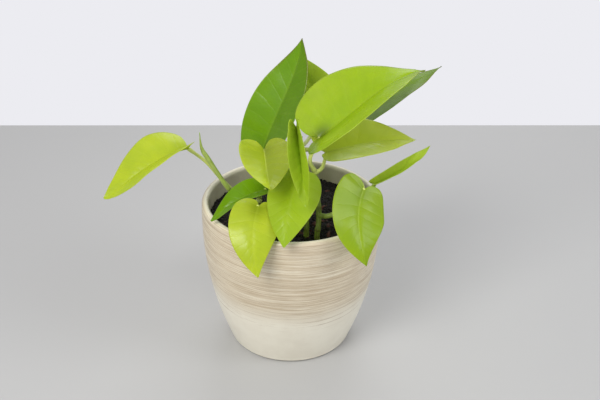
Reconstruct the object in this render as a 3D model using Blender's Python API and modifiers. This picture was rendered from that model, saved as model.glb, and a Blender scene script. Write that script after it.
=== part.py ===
"""A young potted philodendron: a glazed ceramic pot, the potting soil in it, five rooted stems and
a side shoot, and heart-shaped leaves on thin stalks. Every leaf, stalk and stem is its own solid.

Units are metres and +Z is up. The origin is the middle of the pot's flat underside, and the pot's
front faces -Y. The plant's own points are measured from the middle of the rim's top plane: they
rise with the pot's height and spread with the rim's radius.
"""

from math import cos, pi, radians, sin
from types import SimpleNamespace

import bmesh
import bpy
from mathutils import Quaternion, Vector

# Pot
POT_HEIGHT = 0.120
RIM_RADIUS = 0.068
FOOT_RADIUS = 0.0485
WALL = 0.0052
FLOOR = 0.007
FOOT_EDGE = 0.004
FLOOR_CORNER = 0.006
BELLY_LOW = (FOOT_RADIUS + 0.012, POT_HEIGHT * 0.267)
BELLY_HIGH = (RIM_RADIUS + 0.0025, POT_HEIGHT * 0.583)
POT_STEPS = 44
POT_ROWS = 6
CORNER_STEPS = 3

# Soil
SOIL_DROP = 0.015
SOIL_BUMP = 0.0012
SOIL_GAP = 0.0009
SOIL_STEPS = 40
SOIL_RINGS = 6
SWELL = (190, 160)
RIPPLE = (90, 270)

# Plant: GROWN_RIM is the rim radius that the plant's own points were laid out over
STEM_RADIUS = 0.0022
STALK_RADIUS = 0.0016
ROOT_DEPTH = 0.022
STRAIGHT_TO = 0.002
BLADE_THICKNESS = 0.0006
GROWN_RIM = 0.068

# Radii at the ends of the rods, as shares of the radius along them
STEM_END = 0.8
STALK_START = 1.1
STALK_END = 0.8
SPIKE_ENDS = [0.7, 0.25]

# Gap left between pieces that touch
GAP = 0.0003

# Mesh density
BLADE_COLUMNS = 3
BLADE_ROWS = 13
ROUTE_STEPS = 3
LOBE_AT = 0.2
WIDEST_AT = 0.5
NOTCH_AT = 0.07
TIP_AT = 0.99
FLAT_UNDER = 0.005
THIN_UNDER = 0.005
THIN_SHARE = 0.2

SOIL_TOP = POT_HEIGHT - SOIL_DROP
SPREAD = RIM_RADIUS / GROWN_RIM

# Finishes: linear colour and roughness
FINISHES = {
    "pot_glaze": ((0.58, 0.50, 0.37), 0.38),
    "potting_soil": ((0.016, 0.011, 0.009), 0.92),
    "stem_skin": ((0.20, 0.24, 0.06), 0.50),
    "stalk_skin": ((0.34, 0.42, 0.10), 0.45),
    "leaf_yellow": ((0.46, 0.56, 0.03), 0.40),
    "leaf_lime": ((0.32, 0.50, 0.025), 0.38),
    "leaf_green": ((0.19, 0.38, 0.015), 0.38),
    "leaf_dark": ((0.10, 0.24, 0.02), 0.36),
}


def leaf(name, base, tip, width, **changes):
    """A leaf's own values: the stalk's end, the tip, the width and how the blade bends."""
    values = SimpleNamespace(
        name=name,
        base=Vector(base),
        tip=Vector(tip),
        width=width,
        lobe=0.010,
        roll=0.0,
        arch=(0.004, 0.004),
        sway=0.0,
        fold=10.0,
        cup=-12.0,
        twist=0.0,
        wave=0.0008,
        waves=2.0,
        widest=0.21,
        finish="leaf_lime",
        stalk=(),
    )
    for key, value in changes.items():
        setattr(values, key, value)
    return values


STEMS = {
    "stem_front_right": [(0.019, -0.036, -0.010), (0.020, -0.032, 0.003), (0.017, -0.022, 0.032)],
    "stem_centre": [(0.011, -0.033, -0.004), (0.008, -0.028, 0.014), (0.003, -0.020, 0.042)],
    "stem_left": [(-0.024, -0.014, 0.002), (-0.024, -0.010, 0.016), (-0.022, -0.008, 0.028)],
    "stem_far_left": [(-0.034, 0.002, -0.004), (-0.038, -0.002, 0.001), (-0.042, -0.008, 0.006)],
    "stem_back": [(0.006, 0.018, 0.004), (0.005, 0.021, 0.022), (0.006, 0.024, 0.040)],
}

RUNNER = [(0.026, -0.037, 0.005), (0.038, -0.035, 0.009), (0.049, -0.031, 0.014),
          (0.056, -0.027, 0.019)]
SPIKE = [(-0.046, -0.024, 0.020), (-0.059, -0.023, 0.042), (-0.064, -0.022, 0.051),
         (-0.065, -0.022, 0.063)]

LEAVES = [
    leaf("far_left", (-0.075, -0.014, 0.047), (-0.134, -0.037, 0.017), 0.050, lobe=0.001,
         roll=7, arch=(0.010, 0.003), sway=-0.005, fold=30, cup=-12, twist=-25, widest=0.25,
         finish="leaf_yellow",
         stalk=("stem_far_left", (-0.053, -0.014, 0.024), (-0.062, -0.016, 0.037))),
    leaf("top", (-0.022, 0.019, 0.031), (0.007, 0.031, 0.116), 0.048, lobe=0.012, roll=22,
         arch=(0.005, -0.009), sway=0.002, fold=18, cup=4, twist=10, widest=0.28,
         finish="leaf_green",
         stalk=("stem_back", (-0.008, 0.028, 0.024))),
    leaf("back", (0.024, 0.052, 0.048), (0.004, 0.052, 0.096), 0.042, lobe=0.008, roll=-90,
         fold=8, cup=-9, finish="leaf_lime",
         stalk=("stem_back", (0.012, 0.046, 0.026), (0.020, 0.060, 0.034))),
    leaf("right_upper", (0.020, -0.021, 0.060), (0.095, 0.006, 0.100), 0.079, lobe=0.010,
         roll=6, arch=(0.006, 0.020), sway=0.006, fold=27, cup=-5, twist=-9, widest=0.22,
         stalk=("stem_front_right", (0.013, -0.023, 0.044))),
    leaf("right_rear", (0.041, 0.038, 0.040), (0.114, 0.046, 0.090), 0.059, lobe=0.012,
         roll=-4, arch=(0.004, 0.001), fold=9, cup=-6,
         finish="leaf_dark",
         stalk=("stem_back", (0.018, 0.028, 0.028), (0.032, 0.036, 0.032))),
    leaf("right_mid", (0.025, -0.018, 0.047), (0.092, 0.002, 0.048), 0.052, lobe=0.007,
         roll=12, arch=(0.002, 0.004), sway=-0.002, fold=26, cup=-10,
         finish="leaf_yellow",
         stalk=("stem_front_right", (0.022, -0.021, 0.036))),
    leaf("young_folded", (0.003, -0.040, 0.075), (0.010, -0.066, 0.028), 0.030, lobe=0.007,
         roll=23, arch=(-0.003, 0.004), fold=75, cup=1,
         stalk=("stem_centre", (0.003, -0.021, 0.056), (0.003, -0.030, 0.070))),
    leaf("centre_hanging", (0.005, -0.036, 0.037), (-0.005, -0.080, 0.004), 0.039, lobe=0.006,
         roll=-3, arch=(0.004, 0.001), sway=0.002, fold=-12, cup=-14,
         stalk=("stem_centre", (0.003, -0.028, 0.034))),
    leaf("centre_crown", (-0.020, -0.020, 0.049), (-0.014, -0.072, 0.044), 0.040, lobe=0.009,
         roll=-3, arch=(-0.001, -0.003), fold=23, cup=-3,
         finish="leaf_yellow",
         stalk=("stem_left", (-0.021, -0.016, 0.040))),
    leaf("left_mid", (-0.019, -0.026, 0.020), (-0.058, -0.043, 0.003), 0.025, lobe=0.006,
         roll=-4, arch=(0.006, 0.005), fold=26, cup=-4,
         finish="leaf_green",
         stalk=("stem_left", (-0.021, -0.018, 0.015))),
    leaf("front_left", (-0.023, -0.051, 0.020), (-0.022, -0.085, -0.017), 0.036, lobe=0.006,
         roll=1, arch=(0.008, 0.005), sway=0.005, fold=-3, cup=-11,
         finish="leaf_yellow",
         stalk=("stem_left", (-0.026, -0.025, 0.008), (-0.025, -0.040, 0.014))),
    leaf("front_right", (0.051, -0.036, 0.026), (0.053, -0.073, -0.015), 0.042, lobe=0.007,
         roll=-25, arch=(0.000, 0.006), sway=0.009, fold=6, cup=-10, twist=9, widest=0.28,
         stalk=("stem_runner", (0.044, -0.026, 0.018), (0.050, -0.027, 0.026))),
    leaf("new_rolled", (0.060, -0.025, 0.025), (0.100, -0.013, 0.051), 0.016, lobe=0.003,
         roll=36, arch=(0.002, 0.006), sway=0.005, fold=64, cup=12),
]


def in_pot(point):
    """Moves a point of the plant to its place over the pot."""
    return Vector((point[0] * SPREAD, point[1] * SPREAD, point[2] + POT_HEIGHT))


def bezier(t, *points):
    """A point on the cubic curve through two ends and their handles."""
    a, b, c, d = (Vector(p) for p in points)
    s = 1 - t
    return a * s**3 + b * (3 * s * s * t) + c * (3 * s * t * t) + d * t**3


def bezier_slope(t, *points):
    """The direction of the same curve."""
    a, b, c, d = (Vector(p) for p in points)
    s = 1 - t
    return (b - a) * (3 * s * s) + (c - b) * (6 * s * t) + (d - c) * (3 * t * t)


def smooth_route(points, steps):
    """Points on a smooth curve through a route's own points."""
    points = [Vector(p) for p in points]
    ends = [2 * points[0] - points[1]] + points + [2 * points[-1] - points[-2]]
    route = []
    for before, start, stop, after in zip(ends, ends[1:], ends[2:], ends[3:]):
        leave = start + (stop - before) / 6
        arrive = stop - (after - start) / 6
        route += [bezier(i / steps, start, leave, arrive, stop) for i in range(steps)]
    return route + [points[-1]]


class Blade:
    """A heart-shaped leaf blade: a flat outline bent round the midrib and along it."""

    def __init__(self, values):
        self.v = values
        chord = values.tip - values.base
        up = Vector((0, 0, 1))
        normal = (up - up.project(chord)).normalized()
        normal.rotate(Quaternion(chord.normalized(), radians(values.roll)))
        sideways = chord.cross(normal).normalized() * values.sway
        self.normal = normal
        self.midrib = (
            values.base,
            values.base + chord / 3 + normal * values.arch[0] + sideways,
            values.base + chord * (2 / 3) + normal * values.arch[1] + sideways,
            values.tip,
        )
        pieces = 32
        line = [bezier(i / pieces, *self.midrib) for i in range(pieces + 1)]
        self.length = sum((b - a).length for a, b in zip(line, line[1:]))

    def margin(self, v):
        """Half of the flat outline: from the notch, round the lobe, to the tip."""
        half, lobe, length = self.v.width / 2, self.v.lobe, self.length
        widest = self.v.widest * length
        back = (0.48 * half, -lobe)
        side = (half, widest)
        if v < LOBE_AT:
            handles = (0.08 * half, -0.5 * lobe), (0.14 * half, -lobe)
            return bezier(v / LOBE_AT, (0, 0), *handles, back)
        if v < WIDEST_AT:
            handles = (0.80 * half, -lobe), (half, widest * 0.2 - lobe * 0.3)
            return bezier((v - LOBE_AT) / (WIDEST_AT - LOBE_AT), back, *handles, side)
        handles = (half, widest + 0.34 * length), (0.26 * half, 0.86 * length)
        return bezier((v - WIDEST_AT) / (1 - WIDEST_AT), side, *handles, (0, length))

    def point(self, u, v):
        """A point of the bent blade: u from -1 to 1 across it, v from the notch to the tip. Its
        two halves fold up along the midrib, but lie flat where they are under FLAT_UNDER wide."""
        root = v**3 * self.length
        edge = self.margin(v)
        across = abs(u) * edge[0]
        along = root + abs(u) * (edge[1] - root)
        t = max(along / self.length, 0)
        place = bezier(t, *self.midrib)
        tangent = bezier_slope(t, *self.midrib).normalized()
        place += tangent * min(along, 0)
        side = tangent.cross(self.normal).normalized()
        normal = side.cross(tangent)
        turn = Quaternion(tangent, radians(self.v.twist * t))
        side.rotate(turn)
        normal.rotate(turn)
        fold = radians(self.v.fold) * (1 - 0.4 * t) * min(edge[0] / FLAT_UNDER, 1)
        rate = radians(self.v.cup) / (self.v.width / 2)
        end = fold + rate * across
        if abs(rate) > 1e-6:
            out = (sin(end) - sin(fold)) / rate
            rise = (cos(fold) - cos(end)) / rate
        else:
            out = across * cos(fold)
            rise = across * sin(fold)
        rise += self.v.wave * u * u * sin(2 * pi * self.v.waves * v + (u > 0) * 1.3)
        return place + side * (out if u > 0 else -out) + normal * rise


def material(name, colour, roughness):
    """A plain finish."""
    made = bpy.data.materials.new(name)
    made.use_nodes = True
    shader = made.node_tree.nodes["Principled BSDF"]
    shader.inputs["Base Color"].default_value = (*colour, 1)
    shader.inputs["Roughness"].default_value = roughness
    shader.inputs["Metallic"].default_value = 0
    return made


def add_object(name, data, home, finish):
    """Puts a mesh or a curve into a collection as a named object."""
    made = bpy.data.objects.new(name, data)
    home.objects.link(made)
    if finish:
        data.materials.append(finish)
    return made


def plain_mesh(made, home):
    """Makes an evaluated object a mesh object of the same name, and removes the first."""
    name = made.name
    finish = made.data.materials[0] if made.data.materials else None
    evaluated = made.evaluated_get(bpy.context.evaluated_depsgraph_get())
    mesh = bpy.data.meshes.new_from_object(evaluated)
    matrix = made.matrix_world.copy()
    bpy.data.objects.remove(made)
    bm = bmesh.new()
    bm.from_mesh(mesh)
    bmesh.ops.remove_doubles(bm, verts=bm.verts, dist=0.00001)
    bm.to_mesh(mesh)
    bm.free()
    result = bpy.data.objects.new(name, mesh)
    result.matrix_world = matrix
    home.objects.link(result)
    if finish and not mesh.materials:
        mesh.materials.append(finish)
    return result


def turned(name, profile, steps, home, finish):
    """A turned solid from a profile that starts and ends on the Z axis."""
    mesh = bpy.data.meshes.new(name)
    edges = [(i, i + 1) for i in range(len(profile) - 1)]
    mesh.from_pydata([(r, 0, z) for r, z in profile], edges, [])
    made = add_object(name, mesh, home, finish)
    screw = made.modifiers.new("turn", "SCREW")
    screw.steps = steps
    screw.render_steps = steps
    screw.use_merge_vertices = True
    screw.merge_threshold = 0.0001
    return made


def pot_outside(z):
    """The pot's outer radius at a height, on the belly curve."""
    foot = (FOOT_RADIUS + FOOT_EDGE / 4, FOOT_EDGE)
    curve = foot, BELLY_LOW, BELLY_HIGH, (RIM_RADIUS, POT_HEIGHT)
    low, high = 0.0, 1.0
    for _ in range(30):
        middle = (low + high) / 2
        if bezier(middle, *curve)[1] < z:
            low = middle
        else:
            high = middle
    return bezier(low, *curve)[0]


def quarter_turn():
    """The angles along a rounded corner."""
    return [pi / 2 * i / CORNER_STEPS for i in range(CORNER_STEPS + 1)]


def inner_profile(top, inset):
    """The pot's inner outline, moved in by an inset: from the floor's middle up the wall."""
    low = FLOOR + FLOOR_CORNER
    heights = [low + (top - low) * i / POT_ROWS for i in range(POT_ROWS + 1)]
    wall = [(pot_outside(z) - WALL - inset, z) for z in heights]
    corner = wall[0][0] - FLOOR_CORNER
    bottom = FLOOR + inset
    bend = [(corner + FLOOR_CORNER * sin(turn), bottom + FLOOR_CORNER * (1 - cos(turn)))
            for turn in quarter_turn()[:-1]]
    return [(0, bottom)] + bend + wall


def make_pot(home, finish):
    """The glazed pot: one turned wall with a rounded rim, a small foot edge and a flat floor."""
    lip = WALL / 2
    top = POT_HEIGHT - lip
    inside = inner_profile(top, 0)
    middle = pot_outside(top) - lip
    turns = [pi * i / (2 * CORNER_STEPS) for i in range(1, 2 * CORNER_STEPS)]
    rim = [(middle - lip * cos(turn), top + lip * sin(turn)) for turn in turns]
    low = FLOOR + FLOOR_CORNER
    heights = [top - (top - low) * i / POT_ROWS for i in range(POT_ROWS + 1)]
    outer = [(pot_outside(z), z) for z in heights]
    edge = pot_outside(FOOT_EDGE) - FOOT_EDGE
    foot = [(edge + FOOT_EDGE * cos(turn), FOOT_EDGE * (1 - sin(turn))) for turn in quarter_turn()]
    return turned("pot", inside + rim + outer + foot + [(0, 0)], POT_STEPS, home, finish)


def soil_height(x, y):
    """The gentle rise and fall of the soil's surface."""
    swell = sin(x * SWELL[0]) * cos(y * SWELL[1])
    return SOIL_BUMP * (swell + sin(x * RIPPLE[0] - y * RIPPLE[1]) / 2)


def make_soil(home, finish):
    """The soil: it fills the pot to below the rim, with its upper surface gently uneven."""
    wall = inner_profile(SOIL_TOP, SOIL_GAP)[::-1]
    edge = wall[0][0]
    top = [(edge * i / SOIL_RINGS, SOIL_TOP) for i in range(SOIL_RINGS)]
    made = plain_mesh(turned("soil", top + wall, SOIL_STEPS, home, finish), home)
    flat = edge * (1 - 0.5 / SOIL_RINGS)
    for vertex in made.data.vertices:
        x, y, z = vertex.co
        if z > SOIL_TOP - GAP and x * x + y * y < flat * flat:
            vertex.co.z += soil_height(x, y)
    return made


def tube(name, route, radii, home, finish):
    """A round rod along a smooth route, with a radius at each of the route's points."""
    steps = ROUTE_STEPS
    points = smooth_route(route, steps)
    curve = bpy.data.curves.new(name, "CURVE")
    curve.dimensions = "3D"
    curve.bevel_depth = 1.0
    curve.bevel_resolution = 2
    curve.use_fill_caps = True
    spline = curve.splines.new("POLY")
    spline.points.add(len(points) - 1)
    for i, (made, place) in enumerate(zip(spline.points, points)):
        start = min(i // steps, len(radii) - 2)
        share = i / steps - start
        made.co = (*place, 1)
        made.radius = radii[start] + (radii[start + 1] - radii[start]) * share
    return add_object(name, curve, home, finish)


def stem_route(name):
    """A stem's route: straight up out of the soil, then along its own points."""
    if name == "stem_runner":
        return runner_route()
    points = [in_pot(p) for p in STEMS[name]]
    x, y = points[0].x, points[0].y
    foot = Vector((x, y, SOIL_TOP - ROOT_DEPTH))
    collar = Vector((x, y, SOIL_TOP - STRAIGHT_TO))
    return [foot, collar] + points


def beside(route, point, radius):
    """The place next to a stem from which a shoot of this radius leaves towards a point."""
    nearest = min(smooth_route(route, 12), key=lambda p: (p - point).length)
    away = point - nearest
    away.z = 0
    return nearest + away.normalized() * (STEM_RADIUS + radius + GAP)


def under_notch(values, radius):
    """The place under a blade's notch where its stalk, of this radius, ends."""
    blade = Blade(values)
    tangent = bezier_slope(0, *blade.midrib).normalized()
    side = tangent.cross(blade.normal).normalized()
    under = side.cross(tangent)
    return in_pot(values.base) - under * (BLADE_THICKNESS / 2 + GAP + radius)


def runner_route():
    """The side shoot's route: from beside the front stem to the new leaf at its tip."""
    points = [in_pot(p) for p in RUNNER]
    start = beside(stem_route("stem_front_right"), points[0], STEM_RADIUS)
    return [start] + points + [under_notch(LEAVES[-1], STALK_RADIUS)]


def make_stems(home, finish):
    """The rooted stems, the side shoot and the slender rolled leaf on the far left."""
    for name in STEMS:
        route = stem_route(name)
        radii = [STEM_RADIUS] * (len(route) - 1) + [STEM_RADIUS * STEM_END]
        tube(name, route, radii, home, finish)
    route = runner_route()
    radii = [STEM_RADIUS] * 3 + [STEM_RADIUS * STEM_END] * (len(route) - 4) + [STALK_RADIUS]
    tube("stem_runner", route, radii, home, finish)
    points = [in_pot(p) for p in SPIKE]
    start = beside(stem_route("stem_far_left"), points[0], STALK_RADIUS)
    radii = [STALK_RADIUS] * (len(points) - 1) + [STALK_RADIUS * share for share in SPIKE_ENDS]
    tube("new_leaf_spike", [start] + points, radii, home, finish)


def bore_soil(soil, cutters):
    """Opens a hole in the soil for each stem's buried end."""
    for name in STEMS:
        foot = stem_route(name)[0]
        depth = ROOT_DEPTH + GAP + 4 * SOIL_BUMP
        bm = bmesh.new()
        bmesh.ops.create_cone(bm, cap_ends=True, segments=12, depth=depth,
                              radius1=STEM_RADIUS + 2 * GAP, radius2=STEM_RADIUS + 2 * GAP)
        mesh = bpy.data.meshes.new(name + "_hole")
        bm.to_mesh(mesh)
        bm.free()
        hole = add_object(name + "_hole", mesh, cutters, None)
        hole.location = foot + Vector((0, 0, depth / 2 - GAP))
        hole.hide_render = True
        hole.display_type = "WIRE"
        cut = soil.modifiers.new(name, "BOOLEAN")
        cut.operation = "DIFFERENCE"
        cut.object = hole


def make_blade(values, home, finish):
    """One leaf blade, as a thin solid."""
    blade = Blade(values)
    bm = bmesh.new()
    bmesh.ops.create_grid(bm, x_segments=2 * BLADE_COLUMNS, y_segments=BLADE_ROWS, size=1)
    fullness = []
    for vertex in bm.verts:
        u, share = vertex.co.x, (vertex.co.y + 1) / 2
        v = NOTCH_AT + (TIP_AT - NOTCH_AT) * share
        fullness.append(min(blade.margin(v)[0] / THIN_UNDER, 1))
        vertex.co = in_pot(blade.point(u, v))
    mesh = bpy.data.meshes.new("blade_" + values.name)
    bm.to_mesh(mesh)
    bm.free()
    mesh.shade_smooth()
    made = add_object("blade_" + values.name, mesh, home, finish)
    shell = made.modifiers.new("thickness", "SOLIDIFY")
    shell.thickness = BLADE_THICKNESS
    shell.offset = 0
    group = made.vertex_groups.new(name="fullness")
    for i, weight in enumerate(fullness):
        group.add([i], weight, "REPLACE")
    shell.vertex_group = group.name
    shell.thickness_vertex_group = THIN_SHARE
    return made


def make_stalk(values, home, finish):
    """The stalk of a leaf, from beside its stem to under its blade's notch."""
    stem, *points = values.stalk
    points = [in_pot(p) for p in points]
    start = beside(stem_route(stem), points[0], STALK_RADIUS)
    route = [start] + points + [under_notch(values, STALK_RADIUS)]
    middle = [STALK_RADIUS] * (len(route) - 2)
    radii = [STALK_RADIUS * STALK_START] + middle + [STALK_RADIUS * STALK_END]
    return tube("stalk_" + values.name, route, radii, home, finish)


def main():
    for old in list(bpy.data.objects):
        bpy.data.objects.remove(old)
    plant = bpy.data.collections.new("potted_philodendron")
    cutters = bpy.data.collections.new("cutters")
    bpy.context.scene.collection.children.link(plant)
    bpy.context.scene.collection.children.link(cutters)

    finishes = {name: material(name, *look) for name, look in FINISHES.items()}
    make_pot(plant, finishes["pot_glaze"])
    soil = make_soil(plant, finishes["potting_soil"])
    make_stems(plant, finishes["stem_skin"])
    bore_soil(soil, cutters)
    for values in LEAVES:
        make_blade(values, plant, finishes[values.finish])
        if values.stalk:
            make_stalk(values, plant, finishes["stalk_skin"])


main()
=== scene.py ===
"""The finished look of a young potted philodendron: a pot with a brushed glaze, crumbly soil, jointed
stems, grooved stalks and veined heart-shaped leaves, on a plain pale table.

Units are metres and +Z is up. The front faces -Y. The plant's own points are measured from the middle
of the pot's rim plane.
"""

from math import cos, exp, pi, radians, sin
from types import SimpleNamespace

import bmesh
import bpy
from bpy.props import FloatProperty, FloatVectorProperty, IntProperty, PointerProperty
from mathutils import Matrix, Quaternion, Vector, noise


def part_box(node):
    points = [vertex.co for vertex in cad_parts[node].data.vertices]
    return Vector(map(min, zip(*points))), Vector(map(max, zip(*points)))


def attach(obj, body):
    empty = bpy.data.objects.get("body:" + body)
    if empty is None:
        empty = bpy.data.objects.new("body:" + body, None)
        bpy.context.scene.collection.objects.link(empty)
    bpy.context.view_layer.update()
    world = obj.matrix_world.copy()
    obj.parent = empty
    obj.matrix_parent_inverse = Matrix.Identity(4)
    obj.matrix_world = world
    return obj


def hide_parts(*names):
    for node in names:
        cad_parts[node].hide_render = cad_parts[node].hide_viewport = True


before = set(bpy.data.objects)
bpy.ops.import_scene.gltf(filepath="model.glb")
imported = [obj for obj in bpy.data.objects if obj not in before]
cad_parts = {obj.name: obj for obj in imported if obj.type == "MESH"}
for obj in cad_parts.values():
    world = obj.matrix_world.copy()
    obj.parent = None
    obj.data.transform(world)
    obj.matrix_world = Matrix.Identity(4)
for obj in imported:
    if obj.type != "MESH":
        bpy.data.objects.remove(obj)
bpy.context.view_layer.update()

bl_info = {
    "name": "Potted Philodendron",
    "version": (1, 0, 0),
    "blender": (4, 5, 0),
    "location": "3D View > Sidebar > Plant",
    "description": "Builds the pot, soil, stems and leaves of a young philodendron",
    "category": "Add Mesh",
}


def tone(red, green, blue):
    """A linear colour from three screen values of 0 to 255."""
    shares = (value / 255 for value in (red, green, blue))
    return tuple(s / 12.92 if s <= 0.04045 else ((s + 0.055) / 1.055) ** 2.4 for s in shares)


def colour_property(name, description, *screen):
    """A colour that a user can change, from its screen values."""
    return FloatVectorProperty(
        name=name, description=description, default=tone(*screen), subtype="COLOR", size=3, min=0, max=1
    )


def length_property(name, description, default):
    """A length in metres that a user can change."""
    return FloatProperty(
        name=name, description=description, default=default, unit="LENGTH", precision=5, min=0
    )


class PotLook(bpy.types.PropertyGroup):
    """The pot's sizes and glaze."""

    height: length_property("Height", "Height of the pot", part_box("pot")[1][2])
    rim_radius: length_property("Rim radius", "Outer radius at the rim", 0.068)
    foot_radius: length_property("Foot radius", "Outer radius at the foot", 0.0485)
    wall: length_property("Wall", "Thickness of the wall", 0.0052)
    floor: length_property("Floor", "Thickness of the floor", 0.007)
    groove: length_property("Groove", "Depth of the brush marks in the glaze", 0.00010)
    steps: IntProperty(name="Steps", description="Columns of faces round it", default=168, min=12)
    cream: colour_property("Cream", "The smooth glaze low on the pot", 240, 235, 217)
    sand: colour_property("Sand", "The brushed glaze", 217, 203, 176)
    streak: colour_property("Streak", "The dark brush marks", 162, 138, 104)
    chalk: colour_property("Chalk", "The pale brush marks", 242, 235, 214)
    inside: colour_property("Inside", "The glaze inside the pot", 196, 190, 164)


class SoilLook(bpy.types.PropertyGroup):
    """The soil's crumbs and colours."""

    drop: length_property("Drop", "How far below the rim the soil lies", 0.015)
    bump: length_property("Bump", "Rise and fall of the surface", 0.0012)
    crumb: length_property("Crumb", "Mean size of a crumb", 0.0019)
    chip: length_property("Chip", "Mean length of a bark chip", 0.0052)
    crumbs: IntProperty(name="Crumbs", description="Crumbs on a square metre", default=330000)
    chips: IntProperty(name="Chips", description="Bark chips on a square metre", default=16000)
    seed: IntProperty(name="Seed", description="Seed of the scatter", default=7)
    peat: colour_property("Peat", "The dark soil", 21, 17, 15)
    bark: colour_property("Bark", "The bark chips", 88, 46, 30)


class PlantLook(bpy.types.PropertyGroup):
    """The plant's sizes and colours."""

    stem: length_property("Stem radius", "Radius of a stem", 0.0022)
    stalk: length_property("Stalk radius", "Radius of a leaf's stalk", 0.0016)
    root: length_property("Root depth", "How deep the stems stand in the soil", 0.022)
    blade: length_property("Blade", "Thickness of a blade near its midrib", 0.0006)
    margin: length_property("Margin", "Thickness of a blade at its edge", 0.00028)
    quilt: length_property("Quilt", "How far a blade bulges between its veins", 0.00026)
    columns: IntProperty(name="Columns", description="Columns of faces on a blade", default=48)
    rows: IntProperty(name="Rows", description="Rows of faces on a blade", default=110)
    skin: colour_property("Stem", "The stems", 160, 182, 72)
    joint: colour_property("Joint", "The rings at the stems' joints", 92, 74, 38)
    petiole: colour_property("Stalk", "The leaf stalks", 212, 224, 112)
    yellow: colour_property("Yellow lime", "The youngest leaves", 208, 224, 52)
    lime: colour_property("Lime", "The young leaves", 178, 209, 26)
    green: colour_property("Green", "The older leaves", 132, 180, 18)
    dark: colour_property("Dark green", "The oldest leaf", 136, 172, 36)
    scorch: colour_property("Dry tip", "The dry tips", 126, 84, 52)


class StageLook(bpy.types.PropertyGroup):
    """The table, the camera and the light."""

    table: colour_property("Table", "The table top", 181, 181, 180)
    sky: colour_property("Backdrop", "The light all round", 236, 236, 241)
    far_edge: length_property("Far edge", "How far back the table goes", 0.415)
    glow: FloatProperty(name="Glow", description="Strength of the light all round", default=0.66)
    key: FloatProperty(name="Key", description="Window light, from the left", default=10, unit="POWER")
    fill: FloatProperty(name="Fill", description="Light from the right", default=4, unit="POWER")
    back: FloatProperty(name="Back", description="Light through the leaves", default=3.5, unit="POWER")


def look(group):
    """The scene's values of one group."""
    return getattr(bpy.context.scene, "philodendron_" + group)


# Routes and leaves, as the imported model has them


def leaf(name, base, tip, width, **changes):
    """A leaf's own values: the stalk's end, the tip, the width, its bends, its colours, its painted
    shade and its painted light.
    """
    values = SimpleNamespace(
        name=name, base=Vector(base), tip=Vector(tip), width=width, lobe=0.010, roll=0.0,
        arch=(0.004, 0.004), sway=0.0, fold=10.0, cup=-12.0, twist=0.0, wave=0.0008, waves=2.0,
        widest=0.21, finish="leaf_lime", stalk=(), notch=0.5, left=0.0, right=0.0, pale=0.25,
        scorch=0.0, light=0.0, veins=9, quilt=0.25,
    )
    for key, value in changes.items():
        setattr(values, key, value)
    return values


STEMS = {
    "stem_front_right": [(0.019, -0.036, -0.010), (0.020, -0.032, 0.003), (0.017, -0.022, 0.032)],
    "stem_centre": [(0.011, -0.033, -0.004), (0.008, -0.028, 0.014), (0.003, -0.020, 0.042)],
    "stem_left": [(-0.024, -0.014, 0.002), (-0.024, -0.010, 0.016), (-0.022, -0.008, 0.028)],
    "stem_far_left": [(-0.034, 0.002, -0.004), (-0.038, -0.002, 0.001), (-0.042, -0.008, 0.006)],
    "stem_back": [(0.006, 0.018, 0.004), (0.005, 0.021, 0.022), (0.006, 0.024, 0.040)],
}

RUNNER = [(0.026, -0.037, 0.005), (0.038, -0.035, 0.009), (0.049, -0.031, 0.014),
          (0.056, -0.027, 0.019)]
SPIKE = [(-0.046, -0.024, 0.020), (-0.059, -0.023, 0.042), (-0.064, -0.022, 0.051),
         (-0.065, -0.022, 0.063)]

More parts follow.
